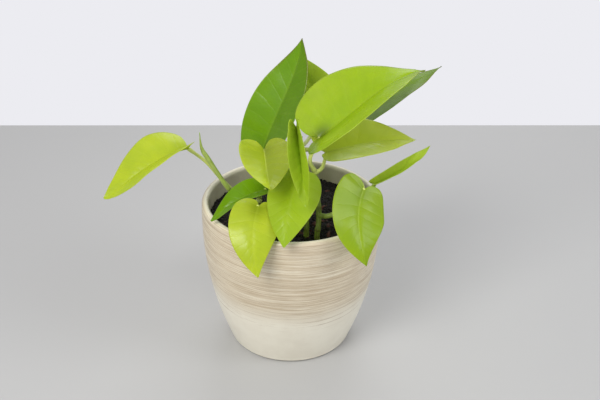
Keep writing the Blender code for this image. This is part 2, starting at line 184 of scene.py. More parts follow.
LEAVES = [
    leaf("far_left", (-0.075, -0.014, 0.047), (-0.134, -0.037, 0.017), 0.050, lobe=0.001,
         roll=7, arch=(0.010, 0.003), sway=-0.005, fold=30, cup=-12, twist=-25, widest=0.25,
         finish="leaf_yellow", notch=0.2, right=0.1, pale=0.5, veins=12, quilt=0.6,
         stalk=("stem_far_left", (-0.053, -0.014, 0.024), (-0.062, -0.016, 0.037))),
    leaf("top", (-0.022, 0.019, 0.031), (0.007, 0.031, 0.116), 0.048, lobe=0.012, roll=22,
         arch=(0.005, -0.009), sway=0.002, fold=18, cup=4, twist=10, widest=0.28,
         finish="leaf_green", notch=0.3, right=0.35, pale=0.05, scorch=0.9, quilt=0.12,
         stalk=("stem_back", (-0.008, 0.028, 0.024))),
    leaf("back", (0.024, 0.052, 0.048), (0.004, 0.052, 0.096), 0.042, lobe=0.008, roll=-90,
         fold=8, cup=-9, finish="leaf_lime", pale=0.5, light=0.7,
         stalk=("stem_back", (0.012, 0.046, 0.026), (0.020, 0.060, 0.034))),
    leaf("right_upper", (0.020, -0.021, 0.060), (0.095, 0.006, 0.100), 0.079, lobe=0.010,
         roll=6, arch=(0.006, 0.020), sway=0.006, fold=27, cup=-5, twist=-9, widest=0.22,
         notch=0.9, pale=0.6, scorch=0.35, veins=10,
         stalk=("stem_front_right", (0.013, -0.023, 0.044))),
    leaf("right_rear", (0.041, 0.038, 0.040), (0.114, 0.046, 0.090), 0.059, lobe=0.012,
         roll=-4, arch=(0.004, 0.001), fold=9, cup=-6, finish="leaf_dark", pale=0.1, scorch=0.6,
         stalk=("stem_back", (0.018, 0.028, 0.028), (0.032, 0.036, 0.032))),
    leaf("right_mid", (0.025, -0.018, 0.047), (0.092, 0.002, 0.048), 0.052, lobe=0.007,
         roll=12, arch=(0.002, 0.004), sway=-0.002, fold=26, cup=-10, finish="leaf_yellow",
         notch=0.4, pale=0.5, light=0.5, stalk=("stem_front_right", (0.022, -0.021, 0.036))),
    leaf("young_folded", (0.003, -0.040, 0.075), (0.010, -0.066, 0.028), 0.030, lobe=0.007,
         roll=23, arch=(-0.003, 0.004), fold=75, cup=1, notch=1.0, pale=0.5, light=0.3,
         stalk=("stem_centre", (0.003, -0.021, 0.056), (0.003, -0.030, 0.070))),
    leaf("centre_hanging", (0.005, -0.036, 0.037), (-0.005, -0.080, 0.004), 0.039, lobe=0.006,
         roll=-3, arch=(0.004, 0.001), sway=0.002, fold=-12, cup=-14, notch=0.3, pale=0.4, light=0.15,
         stalk=("stem_centre", (0.003, -0.028, 0.034))),
    leaf("centre_crown", (-0.020, -0.020, 0.049), (-0.014, -0.072, 0.044), 0.040, lobe=0.009,
         roll=-3, arch=(-0.001, -0.003), fold=23, cup=-3, finish="leaf_yellow", left=0.5,
         notch=0.2, stalk=("stem_left", (-0.021, -0.016, 0.040))),
    leaf("left_mid", (-0.019, -0.026, 0.020), (-0.058, -0.043, 0.003), 0.025, lobe=0.006,
         roll=-4, arch=(0.006, 0.005), fold=26, cup=-4, finish="leaf_green", notch=0.3, pale=0.0,
         stalk=("stem_left", (-0.021, -0.018, 0.015))),
    leaf("front_left", (-0.023, -0.051, 0.020), (-0.022, -0.085, -0.017), 0.036, lobe=0.006,
         roll=1, arch=(0.008, 0.005), sway=0.005, fold=-3, cup=-11, finish="leaf_yellow",
         left=0.03, right=0.08, notch=0.5,
         stalk=("stem_left", (-0.026, -0.025, 0.008), (-0.025, -0.040, 0.014))),
    leaf("front_right", (0.051, -0.036, 0.026), (0.053, -0.073, -0.015), 0.042, lobe=0.007,
         roll=-25, arch=(0.000, 0.006), sway=0.009, fold=6, cup=-10, twist=9, widest=0.28,
         left=0.2, right=0.2, notch=0.2, pale=0.15,
         stalk=("stem_runner", (0.044, -0.026, 0.018), (0.050, -0.027, 0.026))),
    leaf("new_rolled", (0.060, -0.025, 0.025), (0.100, -0.013, 0.051), 0.016, lobe=0.003,
         roll=36, arch=(0.002, 0.006), sway=0.005, fold=64, cup=12, notch=0.2, pale=0.5, light=0.6),
]

# Where a blade's outline has its lobe and its widest place, and where its rows start and stop
LOBE_AT = 0.2
WIDEST_AT = 0.5
NOTCH_AT = 0.03
TIP_AT = 0.996
# Half widths under this lie flatter, so both halves stay apart
FLAT_UNDER = 0.005
# How the side veins lean and curve
VEIN_LEAN = 0.3
VEIN_CURVE = 2.2
# Depth and half width of the groove over the midrib and of the rib under it
GUTTER = (0.00028, 0.0011)
KEEL = (0.00055, 0.0009)
# How far the painted shade round the notch spreads, and how far along it lies
NOTCH_SHADE_REACH = (0.007, 0.002)
SOFT_WAVE = 0.0009

# Edges and rows of faces of the pot and the soil
FOOT_EDGE = 0.004
FLOOR_CORNER = 0.006
CORNER_STEPS = 6
LIP_STEPS = 14
OUTER_ROWS = 200
INNER_ROWS = 40
SOIL_GAP = 0.0009
SOIL_RINGS = 44
SOIL_COLUMNS = 120
SWELL = (190, 160)
RIPPLE = (90, 270)
STRAIGHT_TO = 0.002

# The camera's place, its turn to the right, its tilt down and its roll, and the table's slight turn
CAMERA_PLACE = (0, -0.5581, 0.4231)
CAMERA_TURNS = (0.67, 28.685, 0.88)
TABLE_WIDTH, TABLE_DEPTH, TABLE_THICKNESS = 4, 2.6, 0.03
TABLE_SKEW = 0.027
# Each light's name, place, aim, size and colour
LIGHTS = (
    ("key", (-0.5, -0.75, 0.95), (0, 0, 0.10), 0.55, (1.0, 0.985, 0.96)),
    ("fill", (0.95, -0.35, 0.7), (0, 0, 0.10), 0.5, (0.96, 0.98, 1.0)),
    ("back", (0.15, 0.9, 0.85), (0, 0, 0.15), 0.8, (1.0, 1.0, 0.98)),
)


def over_rim(point):
    """Moves a point of the plant to its place over the pot."""
    return Vector((point[0], point[1], point[2] + look("pot").height))


def bezier(t, *points):
    """A point on the cubic curve through two ends and their handles."""
    a, b, c, d = (Vector(p) for p in points)
    s = 1 - t
    return a * s**3 + b * (3 * s * s * t) + c * (3 * s * t * t) + d * t**3


def bezier_slope(t, *points):
    """The direction of the same curve."""
    a, b, c, d = (Vector(p) for p in points)
    s = 1 - t
    return (b - a) * (3 * s * s) + (c - b) * (6 * s * t) + (d - c) * (3 * t * t)


def smooth_route(points, steps):
    """Points on a smooth curve through a route's own points."""
    points = [Vector(p) for p in points]
    ends = [2 * points[0] - points[1]] + points + [2 * points[-1] - points[-2]]
    route = []
    for before, start, stop, after in zip(ends, ends[1:], ends[2:], ends[3:]):
        leave = start + (stop - before) / 6
        arrive = stop - (after - start) / 6
        route += [bezier(i / steps, start, leave, arrive, stop) for i in range(steps)]
    return route + [points[-1]]


def ease(low, high, value):
    """A smooth step from 0 at low to 1 at high."""
    share = min(max((value - low) / (high - low), 0), 1)
    return share * share * (3 - 2 * share)


def hump(value, middle, width):
    """A smooth bump of height 1 round a middle."""
    return exp(-(((value - middle) / width) ** 2))


# Finishes


class Graph:
    """Short ways to add nodes to a tree. An input is a value or another node's socket."""

    def __init__(self, tree):
        self.tree = tree
        self.count = 0

    def node(self, kind, inputs=None, **settings):
        made = self.tree.nodes.new(kind)
        made.location = (self.count % 8 * 180, -(self.count // 8) * 260)
        self.count += 1
        for key, value in settings.items():
            setattr(made, key, value)
        for key, value in (inputs or {}).items():
            self.put(made.inputs[key], value)
        return made

    def put(self, socket, value):
        if isinstance(value, bpy.types.NodeSocket):
            self.tree.links.new(value, socket)
        elif socket.type == "RGBA" and len(value) == 3:
            socket.default_value = (*value, 1)
        else:
            socket.default_value = value

    def math(self, operation, a, b=0.0, clamp=False):
        made = self.node("ShaderNodeMath", {0: a, 1: b}, operation=operation, use_clamp=clamp)
        return made.outputs[0]

    def times(self, a, b):
        return self.math("MULTIPLY", a, b)

    def plus(self, a, b):
        return self.math("ADD", a, b)

    def minus(self, a, b):
        return self.math("SUBTRACT", a, b)

    def mix(self, share, a, b):
        made = self.node("ShaderNodeMix", data_type="RGBA")
        for key, value in (("Factor_Float", share), ("A_Color", a), ("B_Color", b)):
            self.put(next(s for s in made.inputs if s.identifier == key), value)
        return next(s for s in made.outputs if s.identifier == "Result_Color")

    def step(self, value, low, high, bottom=0.0, top=1.0):
        sockets = {"Value": value, "From Min": low, "From Max": high, "To Min": bottom, "To Max": top}
        made = self.node("ShaderNodeMapRange", sockets, interpolation_type="SMOOTHSTEP")
        return made.outputs["Result"]

    def noise(self, vector, scale, detail=3.0, roughness=0.5):
        sockets = {"Vector": vector, "Scale": scale, "Detail": detail, "Roughness": roughness}
        return self.node("ShaderNodeTexNoise", sockets).outputs["Fac"]

    def places(self):
        return self.node("ShaderNodeTexCoord").outputs["Object"]

    def scaled(self, vector, scale):
        return self.node("ShaderNodeMapping", {"Vector": vector, "Scale": scale}).outputs["Vector"]

    def parts(self, vector):
        return self.node("ShaderNodeSeparateXYZ", {"Vector": vector}).outputs

    def joined(self, x, y, z):
        return self.node("ShaderNodeCombineXYZ", {"X": x, "Y": y, "Z": z}).outputs[0]

    def trace(self, name):
        return self.node("ShaderNodeAttribute", attribute_name=name).outputs["Vector"]

    def bump(self, height, strength, distance):
        sockets = {"Height": height, "Strength": strength, "Distance": distance}
        return self.node("ShaderNodeBump", sockets).outputs["Normal"]

    def group(self, tree, **inputs):
        made = self.node("ShaderNodeGroup", node_tree=tree)
        for key, value in inputs.items():
            self.put(made.inputs[key.replace("_", " ")], value)
        return made.outputs


def new_material(name):
    """An empty material with its graph and its Principled shader."""
    made = bpy.data.materials.new(name)
    made.use_nodes = True
    graph = Graph(made.node_tree)
    return made, graph, made.node_tree.nodes["Principled BSDF"]


def finished(made, graph, shader, colour, roughness, normal=None):
    """Sets a material's colour, roughness and relief, and returns the material."""
    graph.put(shader.inputs["Base Color"], colour)
    graph.put(shader.inputs["Roughness"], roughness)
    if normal:
        graph.put(shader.inputs["Normal"], normal)
    return made


def dim(colour, share):
    """A colour made darker, or lighter for a share over 1."""
    return tuple(c * share for c in colour)


def new_group(name, inputs, outputs):
    """A shader node group with float inputs, given as name and default, and float outputs."""
    tree = bpy.data.node_groups.new(name, "ShaderNodeTree")
    for key, default in inputs.items():
        socket = tree.interface.new_socket(key, in_out="INPUT", socket_type="NodeSocketFloat")
        socket.default_value = default
    for key in outputs:
        tree.interface.new_socket(key, in_out="OUTPUT", socket_type="NodeSocketFloat")
    graph = Graph(tree)
    return tree, graph, graph.node("NodeGroupInput").outputs, graph.node("NodeGroupOutput").inputs


def mottle_group():
    """Soft blotches and fine grain, for leaves, stems and glaze."""
    if "mottle" in bpy.data.node_groups:
        return bpy.data.node_groups["mottle"]
    tree, g, given, out = new_group("mottle", {"Blotches": 120.0, "Grain": 1500.0}, ["Blotch", "Fine"])
    places = g.places()
    g.put(out["Blotch"], g.step(g.noise(places, given["Blotches"], 4.0, 0.55), 0.32, 0.68))
    g.put(out["Fine"], g.noise(places, given["Grain"], 2.0, 0.6))
    return tree


def vein_group():
    """A leaf's side veins, midrib and the relief between them, from the blade's own coordinates."""
    if "veins" in bpy.data.node_groups:
        return bpy.data.node_groups["veins"]
    tree, g, given, out = new_group("veins", {"Count": 9.0, "Width": 0.10}, ["Vein", "Midrib", "Relief"])
    along, across, line = g.parts(g.trace("veins"))
    wander = g.times(g.minus(g.noise(g.places(), 90.0, 2.0), 0.5), 0.035)
    phase = g.math("FRACT", g.times(g.plus(line, wander), given["Count"]))
    gap = g.math("ABSOLUTE", g.minus(phase, 0.5))
    vein = g.step(gap, 0.5, g.minus(0.5, given["Width"]), 1.0, 0.0)
    finer = g.math("FRACT", g.times(phase, 3.0))
    thin = g.step(g.math("ABSOLUTE", g.minus(finer, 0.5)), 0.5, 0.36, 0.35, 0.0)
    reach = g.step(across, 0.0, 0.05)
    g.put(out["Vein"], g.math("MULTIPLY", g.math("MAXIMUM", vein, thin), reach, clamp=True))
    g.put(out["Midrib"], g.times(g.step(across, 0.022, 0.006), g.step(along, 1.0, 0.7)))
    g.put(out["Relief"], g.minus(g.math("SINE", g.times(phase, pi)), vein))
    return tree


def leaf_material(name, colour, pale, shade, count=9.0):
    """A satin leaf: blotched green with pale veins, a thin bright edge, a dull underside, painted shade
    and painted light.
    """
    plant = look("plant")
    made, g, shader = new_material(name)
    across, _, under = g.parts(g.trace("sheet"))
    darker, paler, dry = g.parts(g.trace("wash"))
    veins = g.group(vein_group(), Count=count, Width=0.10)
    spots = g.group(mottle_group(), Blotches=75.0, Grain=2600.0)
    upper = g.minus(1.0, under)
    body = g.mix(g.times(spots["Blotch"], 0.45), colour, shade)
    # Painted shade at the notch and on one half of the blade
    body = g.mix(darker, body, dim(shade, 0.40))
    # Painted light on leaves in shade, and the leaf's own paler streaks
    body = g.mix(paler, body, pale)
    marks = g.math("MAXIMUM", g.times(veins["Vein"], 0.09), g.times(veins["Midrib"], 0.14))
    body = g.mix(g.times(marks, g.step(upper, 0.0, 1.0, 0.7, 1.0)), body, pale)
    edge = g.step(g.math("ABSOLUTE", across), 0.955, 1.0, 0.0, 0.55)
    body = g.mix(edge, body, pale)
    dull = tuple(0.8 * c + d for c, d in zip(colour, (0.03, 0.035, 0.012)))
    body = g.mix(g.times(under, 0.3), body, dull)
    body = g.mix(dry, body, plant.scorch)
    gloss = g.plus(g.step(spots["Blotch"], 0.0, 1.0, 0.26, 0.36), g.times(under, 0.25))
    height = g.plus(g.times(veins["Relief"], 0.4), g.times(spots["Fine"], 0.12))
    height = g.plus(height, g.times(spots["Blotch"], 0.8))
    normal = g.bump(height, 0.35, 0.0004)
    finished(made, g, shader, body, gloss, normal)
    g.put(shader.inputs["Coat Weight"], g.times(upper, 0.2))
    shader.inputs["Coat Roughness"].default_value = 0.14
    shader.inputs["Specular IOR Level"].default_value = 0.3
    through = g.mix(0.35, body, pale)
    glow = g.node("ShaderNodeBsdfTranslucent", {"Color": through, "Normal": normal})
    both = g.node("ShaderNodeMixShader", {0: 0.42, 1: shader.outputs[0], 2: glow.outputs[0]})
    g.put(made.node_tree.nodes["Material Output"].inputs["Surface"], both.outputs[0])
    return made


def stem_material(name, colour, ring, streak):
    """A stem's or a stalk's skin: lengthwise streaks, with brown where the joint mask is."""
    made, g, shader = new_material(name)
    along, round_it, joint = g.parts(g.trace("rod"))
    turned = g.joined(g.times(along, 8.0), g.times(round_it, 3.0), 0.0)
    lines = g.step(g.noise(turned, 3.0, 4.0, 0.6), 0.35, 0.65)
    spots = g.group(mottle_group(), Blotches=300.0, Grain=3000.0)
    body = g.mix(g.times(lines, streak), colour, dim(colour, 0.55))
    body = g.mix(g.times(spots["Blotch"], 0.2), body, tuple(0.6 * c + 0.2 for c in colour))
    patchy = g.times(joint, g.step(spots["Blotch"], 0.0, 1.0, 1.0, 0.6))
    gloss = g.step(joint, 0.0, 1.0, 0.42, 0.75)
    height = g.plus(g.times(lines, 0.5), g.times(spots["Fine"], 0.3))
    return finished(made, g, shader, g.mix(patchy, body, ring), gloss, g.bump(height, 0.4, 0.0002))


def glaze_material():
    """The pot's glaze: sandy brush marks above, plain cream below, greyer inside, a pale painted
    highlight along the lip.
    """
    pot = look("pot")
    made, g, shader = new_material("brushed_glaze")
    places = g.places()
    height = g.parts(places)[2]
    zone = g.parts(g.trace("zone"))[0]
    drift = g.minus(g.noise(g.scaled(places, (9, 9, 4)), 1.0, 2.0), 0.5)
    waves = g.minus(g.noise(g.scaled(places, (38, 38, 20)), 1.0, 2.0), 0.5)
    bent = g.plus(height, g.times(drift, 0.0016))
    bent = g.plus(bent, g.times(waves, 0.0007))

    def lines(along, across):
        x, y, _ = g.parts(places)
        level = g.joined(g.times(x, along), g.times(y, along), g.times(bent, across))
        return g.noise(level, 1.0, 5.0, 0.7)

    fine = lines(22.0, 1900.0)
    wide = lines(14.0, 820.0)
    top = pot.height
    band = g.step(g.plus(height, g.times(drift, 0.012)), 0.36 * top, 0.56 * top)
    thin = g.step(g.plus(height, g.times(drift, 0.010)), 0.30 * top, 0.38 * top)
    dark = g.times(g.step(fine, 0.50, 0.58), g.step(band, 0.0, 1.0, 0.0, 0.46))
    loose = g.times(g.step(wide, 0.56, 0.62), g.step(thin, 0.0, 1.0, 0.0, 0.5))
    light = g.times(g.step(fine, 0.47, 0.40), g.times(band, 0.6))
    wash = g.times(g.step(wide, 0.34, 0.56, 0.70, 1.0), band)
    body = g.mix(wash, pot.cream, pot.sand)
    body = g.mix(light, body, pot.chalk)
    body = g.mix(g.math("MAXIMUM", dark, loose), body, pot.streak)
    spots = g.group(mottle_group(), Blotches=60.0, Grain=900.0)
    body = g.mix(g.times(spots["Blotch"], 0.10), body, pot.streak)
    inner = g.mix(g.times(spots["Blotch"], 0.25), pot.inside, pot.cream)
    body = g.mix(g.step(zone, 0.35, 0.65), body, inner)
    # Painted highlight: a pale line along the top of the rim
    lip = g.times(g.step(zone, 0.2, 0.5), g.step(zone, 0.8, 0.5))
    body = g.mix(g.times(lip, 0.5), body, pot.chalk)
    worn = g.step(g.math("MAXIMUM", dark, light), 0.0, 1.0, 0.36, 0.52)
    relief = g.times(g.plus(fine, wide), g.step(band, 0.0, 1.0, 0.05, 1.0))
    relief = g.plus(relief, g.times(spots["Fine"], 0.04))
    shader.inputs["Coat Weight"].default_value = 0.15
    shader.inputs["Coat Roughness"].default_value = 0.25
    return finished(made, g, shader, body, worn, g.bump(relief, 0.30, 0.0005))


def earth_material(name, colour, lift, rough):
    """Soil, crumbs or bark: dark and matte, each lump a little different."""
    made, g, shader = new_material(name)
    spots = g.group(mottle_group(), Blotches=420.0, Grain=4200.0)
    body = g.mix(g.times(spots["Blotch"], 0.8), colour, dim(colour, lift))
    dull = g.step(spots["Fine"], 0.3, 0.7, rough, 1.0)
    height = g.plus(spots["Blotch"], g.times(spots["Fine"], 0.5))
    return finished(made, g, shader, body, dull, g.bump(height, 0.6, 0.0004))


def table_material():
    """The table's pale laminate, with the faintest unevenness."""
    made, g, shader = new_material("table_top")
    spots = g.group(mottle_group(), Blotches=3.0, Grain=700.0)
    colour = look("stage").table
    body = g.mix(g.times(spots["Blotch"], 0.12), colour, dim(colour, 0.93))
    return finished(made, g, shader, body, g.step(spots["Fine"], 0.2, 0.8, 0.46, 0.54))


# Mesh work


def add_object(name, data):
    """A new object in the scene."""
    made = bpy.data.objects.new(name, data)
    bpy.context.scene.collection.objects.link(made)
    return made


def link(name, mesh, finish):
    """A named piece with its finish, smooth all over."""
    made = add_object(name, mesh)
    mesh.materials.clear()
    mesh.materials.append(finish)
    mesh.shade_smooth()
    return made


def keep(piece, slot, *nodes):
    """Puts a piece on the model's one body, in the place of its CAD nodes."""
    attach(piece, "root")
    if nodes:
        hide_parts(*nodes)


def mark(mesh, name, vectors):
    """Stores one vector for each point of a mesh."""
    made = mesh.attributes.new(name, "FLOAT_VECTOR", "POINT")
    made.data.foreach_set("vector", [value for vector in vectors for value in vector])


def faces_out(mesh):
    """Turns a closed mesh's faces outwards."""
    bm = bmesh.new()
    bm.from_mesh(mesh)
    bmesh.ops.recalc_face_normals(bm, faces=bm.faces)
    bm.to_mesh(mesh)
    bm.free()


def closed_mesh(name, points, faces, **marks):
    """A closed mesh with its marks and its faces outwards."""
    mesh = bpy.data.meshes.new(name)
    mesh.from_pydata(points, [], faces)
    for key, vectors in marks.items():
        mark(mesh, key, vectors)
    faces_out(mesh)
    return mesh


def ring_faces(rings, sides):
    """The faces of a solid made of equal rings between its first and its last point."""
    last = rings * sides + 1
    faces = [(0, 1 + (k + 1) % sides, 1 + k) for k in range(sides)]
    for row in range(rings - 1):
        low, high = 1 + row * sides, 1 + (row + 1) * sides
        for k in range(sides):
            n = (k + 1) % sides
            faces.append((low + k, low + n, high + n, high + k))
    ring = last - sides
    return faces + [(ring + k, ring + (k + 1) % sides, last) for k in range(sides)]


def turned_mesh(name, profile, steps):
    """A turned solid, from (radius, height, mark) rows that start and end on the Z axis."""
    points = [(0, 0, profile[0][1])]
    marks = [(profile[0][2], 0, 0)]
    for radius, height, zone in profile[1:-1]:
        for k in range(steps):
            turn = 2 * pi * k / steps
            points.append((radius * cos(turn), radius * sin(turn), height))
            marks.append((zone, 0, 0))
    points.append((0, 0, profile[-1][1]))
    marks.append((profile[-1][2], 0, 0))
    return closed_mesh(name, points, ring_faces(len(profile) - 2, steps), zone=marks)


def rod_mesh(name, route, radius, joint, sides=20):
    """A closed rod along a route. radius(share, turn) and joint(share) are functions."""
    tangents = [(b - a).normalized() for a, b in zip(route, route[1:])]
    tangents.append(tangents[-1])
    side = tangents[0].orthogonal().normalized()
    points = [route[0]]
    marks = [(0, 0, joint(0))]
    before = tangents[0]
    for i, (place, tangent) in enumerate(zip(route, tangents)):
        side.rotate(before.rotation_difference(tangent))
        before = tangent
        other = tangent.cross(side)
        share = i / (len(route) - 1)
        for k in range(sides):
            turn = 2 * pi * k / sides
            out = radius(share, turn)
            points.append(place + (side * cos(turn) + other * sin(turn)) * out)
            marks.append((share, abs(k / sides - 0.5) * 2, joint(share)))
    points.append(route[-1])
    marks.append((1, 0, joint(1)))
    return closed_mesh(name, points, ring_faces(len(route), sides), rod=marks)


# Pot


def pot_outside(z):
    """The pot's outer radius at a height, on the belly curve."""
    pot = look("pot")
    foot = (pot.foot_radius + FOOT_EDGE / 4, FOOT_EDGE)
    low_bulge = (pot.foot_radius + 0.012, pot.height * 0.267)
    high_bulge = (pot.rim_radius + 0.0025, pot.height * 0.583)
    curve = foot, low_bulge, high_bulge, (pot.rim_radius, pot.height)
    low, high = 0.0, 1.0
    for _ in range(30):
        middle = (low + high) / 2
        if bezier(middle, *curve)[1] < z:
            low = middle
        else:
            high = middle
    return bezier(low, *curve)[0]


def inner_profile(top, inset, rows, zone):
    """The pot's inner outline moved in by an inset, from the floor's middle up the wall."""
    pot = look("pot")
    low = pot.floor + FLOOR_CORNER
    heights = [low + (top - low) * i / rows for i in range(rows + 1)]
    wall = [(pot_outside(z) - pot.wall - inset, z, zone) for z in heights]
    corner = wall[0][0] - FLOOR_CORNER
    bottom = pot.floor + inset
    turns = [pi / 2 * i / CORNER_STEPS for i in range(CORNER_STEPS)]
    bend = [(corner + FLOOR_CORNER * sin(t), bottom + FLOOR_CORNER * (1 - cos(t)), zone) for t in turns]
    floor = [(0, bottom, zone), (corner * 0.5, bottom, zone)]
    return floor + bend + wall


def pot_profile():
    """The pot's outline: inside, over the rolled rim, down the outer wall and under the foot."""
    pot = look("pot")
    lip = pot.wall / 2
    top = pot.height - lip
    middle = pot_outside(top) - lip
    turns = [pi * i / LIP_STEPS for i in range(1, LIP_STEPS)]
    marks = [1 - i / (LIP_STEPS - 1) for i in range(LIP_STEPS - 1)]
    rim = [(middle - lip * cos(t), top + lip * sin(t), zone) for t, zone in zip(turns, marks)]
    low = FOOT_EDGE
    heights = [top - (top - low) * i / OUTER_ROWS for i in range(OUTER_ROWS + 1)]
    outer = [(pot_outside(z), z, 0) for z in heights]
    turns = [pi / 2 * i / CORNER_STEPS for i in range(1, CORNER_STEPS + 1)]
    edge = pot_outside(low) - FOOT_EDGE
    foot = [(edge + FOOT_EDGE * cos(t), FOOT_EDGE * (1 - sin(t)), 0) for t in turns]
    under = [(edge * share, 0, 0) for share in (0.9, 0.5, 0)]
    return inner_profile(top, 0, INNER_ROWS, 1) + rim + outer + foot + under


def brush_marks(mesh):
    """Cuts the brush's shallow wandering grooves into the upper part of the outer wall."""
    pot = look("pot")
    low, high = pot.height * 0.30, pot.height * 0.5
    zones = mesh.attributes["zone"].data
    for vertex, zone in zip(mesh.vertices, zones):
        x, y, z = vertex.co
        if zone.vector[0] > 0 or z < low or z > pot.height - 0.004:
            continue
        drift = noise.noise(Vector((x * 9, y * 9, z * 4)))
        line = noise.noise(Vector((x * 20, y * 20, (z + drift * 0.002) * 620)))
        out = Vector((x, y, 0)).normalized()
        vertex.co += out * (line - 0.3) * pot.groove * ease(low, high, z)


class PHILODENDRON_OT_pot(bpy.types.Operator):
    """Make the glazed pot"""

    bl_idname = "philodendron.pot"
    bl_label = "Pot"

    def execute(self, context):
        mesh = turned_mesh("pot_shell", pot_profile(), look("pot").steps)
        brush_marks(mesh)
        keep(link("pot_shell", mesh, glaze_material()), "pot_glaze", "pot")
        return {"FINISHED"}


# Soil


def soil_top():
    """The height of the soil's mean surface."""
    return look("pot").height - look("soil").drop


def soil_height(x, y):
    """The gentle rise and fall of the soil's surface, with small lumps on it."""
    bump = look("soil").bump
    swell = sin(x * SWELL[0]) * cos(y * SWELL[1]) + sin(x * RIPPLE[0] - y * RIPPLE[1]) / 2
    return bump * (swell + 0.5 * noise.noise(Vector((x * 420, y * 420, 0))))


def soil_bed():
    """The soil's body, which fills the pot below its uneven surface."""
    top = soil_top()
    wall = inner_profile(top, SOIL_GAP, 10, 0)[::-1]
    edge = wall[0][0]
    surface = [(edge * i / SOIL_RINGS, top, 1) for i in range(SOIL_RINGS)]
    mesh = turned_mesh("soil_bed", surface + wall, SOIL_COLUMNS)
    for vertex, zone in zip(mesh.vertices, mesh.attributes["zone"].data):
        if zone.vector[0] == 1:
            vertex.co.z += soil_height(vertex.co.x, vertex.co.y)
    return mesh


def lump(name, subdivisions, shape, seed):
    """One small lump of a given shape, a metre long, to be scattered."""
    bm = bmesh.new()
    bmesh.ops.create_icosphere(bm, subdivisions=subdivisions, radius=0.5)
    for vertex in bm.verts:
        vertex.co *= 1 + 0.35 * noise.noise(vertex.co * 3 + Vector((seed, 0, 0)))
        vertex.co = Vector(c * s for c, s in zip(vertex.co, shape))
    mesh = bpy.data.meshes.new(name)
    bm.to_mesh(mesh)
    bm.free()
    return add_object(name, mesh)


def scatter_tree():
    """A tree that scatters an object over the upward faces of a surface."""
    if "scattered_lumps" in bpy.data.node_groups:
        return bpy.data.node_groups["scattered_lumps"]
    tree = bpy.data.node_groups.new("scattered_lumps", "GeometryNodeTree")
    kinds = (("Surface", "Geometry"), ("Lump", "Object"), ("Density", "Float"), ("Size", "Float"),
             ("Tilt", "Float"), ("Seed", "Int"), ("Finish", "Material"))
    for name, kind in kinds:
        tree.interface.new_socket(name, in_out="INPUT", socket_type="NodeSocket" + kind)
    tree.interface.new_socket("Lumps", in_out="OUTPUT", socket_type="NodeSocketGeometry")
    g = Graph(tree)
    given = g.node("NodeGroupInput").outputs
    facing = g.parts(g.node("GeometryNodeInputNormal").outputs[0])[2]
    up = g.node("FunctionNodeCompare", {0: facing, 1: 0.3}, operation="GREATER_THAN").outputs[0]
    spread = g.node("GeometryNodeDistributePointsOnFaces", {
        "Mesh": given["Surface"], "Selection": up, "Density": given["Density"], "Seed": given["Seed"]})
    tilt = g.joined(given["Tilt"], given["Tilt"], 2 * pi)
    turn = g.node("FunctionNodeRandomValue", data_type="FLOAT_VECTOR")
    g.put(turn.inputs[1], tilt)
    size = g.node("FunctionNodeRandomValue", data_type="FLOAT")
    g.put(size.inputs[2], g.times(given["Size"], 0.45))
    g.put(size.inputs[3], g.times(given["Size"], 1.55))
    shown = g.node("GeometryNodeObjectInfo", {"Object": given["Lump"]}).outputs["Geometry"]
    placed = g.node("GeometryNodeInstanceOnPoints", {
        "Points": spread.outputs["Points"], "Instance": shown,
        "Rotation": turn.outputs[0], "Scale": size.outputs[1]}).outputs[0]
    real = g.node("GeometryNodeRealizeInstances", {"Geometry": placed}).outputs[0]
    done = g.node("GeometryNodeSetMaterial", {"Geometry": real, "Material": given["Finish"]}).outputs[0]
    g.node("NodeGroupOutput", {"Lumps": done})
    return tree


def scattered(name, surface, values, finish):
    """Bakes one scatter of lumps over a surface to a plain mesh."""
    holder = add_object(name + "_scatter", surface.copy())
    modifier = holder.modifiers.new("scatter", "NODES")
    modifier.node_group = scatter_tree()
    values["Finish"] = finish
    for item in modifier.node_group.interface.items_tree:
        if item.in_out == "INPUT" and item.name in values:
            modifier[item.identifier] = values[item.name]
    graph = bpy.context.evaluated_depsgraph_get()
    mesh = bpy.data.meshes.new_from_object(holder.evaluated_get(graph))
    for old in (holder, values["Lump"]):
        bpy.data.objects.remove(old)
    mesh.name = name
    return link(name, mesh, finish)


class PHILODENDRON_OT_soil(bpy.types.Operator):
    """Make the soil, its crumbs and the bark chips in it"""

    bl_idname = "philodendron.soil"
    bl_label = "Soil"

    def execute(self, context):
        soil = look("soil")
        bed = link("soil_bed", soil_bed(), earth_material("peat", soil.peat, 0.5, 0.85))
        crumb = {"Lump": lump("crumb", 1, (1, 0.85, 0.75), 3), "Density": float(soil.crumbs),
                 "Size": soil.crumb, "Tilt": 2 * pi, "Seed": soil.seed}
        loose = earth_material("crumbs", soil.peat, 1.7, 0.8)
        crumbs = scattered("soil_crumbs", bed.data, crumb, loose)
        chip = {"Lump": lump("chip", 2, (1, 0.45, 0.24), 8), "Density": float(soil.chips),
                "Size": soil.chip, "Tilt": 0.5, "Seed": soil.seed + 1}
        bark = earth_material("bark", soil.bark, 0.35, 0.7)
        chips = scattered("bark_chips", bed.data, chip, bark)
        keep(bed, "potting_soil", "soil")
        keep(crumbs, "potting_soil")
        keep(chips, "potting_soil")
        return {"FINISHED"}


# Stems and stalks


def stem_points(name):
    """A stem's own points: straight up out of the soil, then along its route."""
    if name == "stem_runner":
        nearest = beside("stem_front_right", over_rim(RUNNER[0]))
        return [nearest] + [over_rim(p) for p in RUNNER] + [over_rim(LEAVES[-1].base)]
    points = [over_rim(p) for p in STEMS[name]]
    x, y = points[0].x, points[0].y
    foot = Vector((x, y, soil_top() - look("plant").root))
    return [foot, Vector((x, y, soil_top() - STRAIGHT_TO))] + points


def beside(stem, point):
    """The point on a stem's middle line from which a shoot leaves towards a point."""
    return min(smooth_route(stem_points(stem), 12), key=lambda p: (p - point).length)


